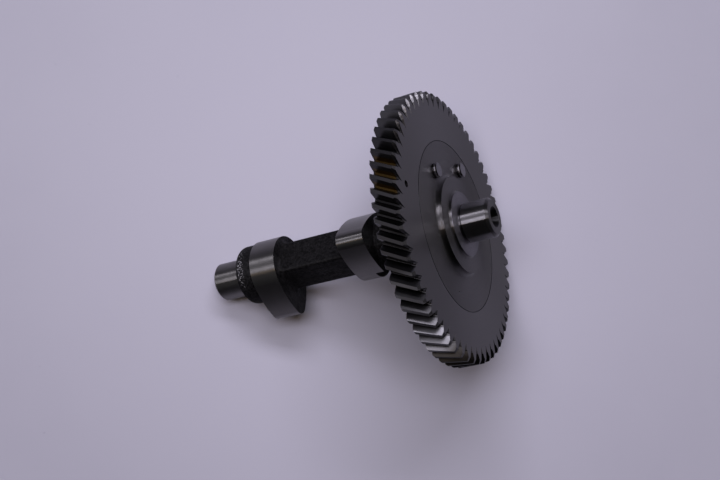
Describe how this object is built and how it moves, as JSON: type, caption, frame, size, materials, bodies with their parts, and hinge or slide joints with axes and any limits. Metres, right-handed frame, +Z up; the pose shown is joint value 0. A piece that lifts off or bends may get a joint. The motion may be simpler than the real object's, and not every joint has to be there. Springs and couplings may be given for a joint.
{
  "type": "camshaft",
  "caption": "Cast camshaft with two cam lobes, a journal at each end and a pressed-on helical timing gear with two stop pins, lying on its gear rim and rear journal.",
  "frame": {"origin": "Centre of the bounding box in plan, on the ground the part rests on.", "axes": "+Z up. +X runs along the shaft in plan, from the rear journal towards the gear and the front journal. The shaft's axis lies in the XZ plane and rises 25.2 degrees towards the gear. +Y is to the left when looking along +X."},
  "size_m": [0.1272, 0.1112, 0.1044],
  "materials": {
    "cast_iron": "as cast, dark, with the journals and cam faces ground bright",
    "gear_steel": "turned, dull grey",
    "pin_steel": "ground, bright"
  },
  "bodies": {
    "root": {"camshaft": "cast_iron", "timing_gear": "gear_steel", "pin_1": "pin_steel", "pin_2": "pin_steel"}
  },
  "joints": []
}
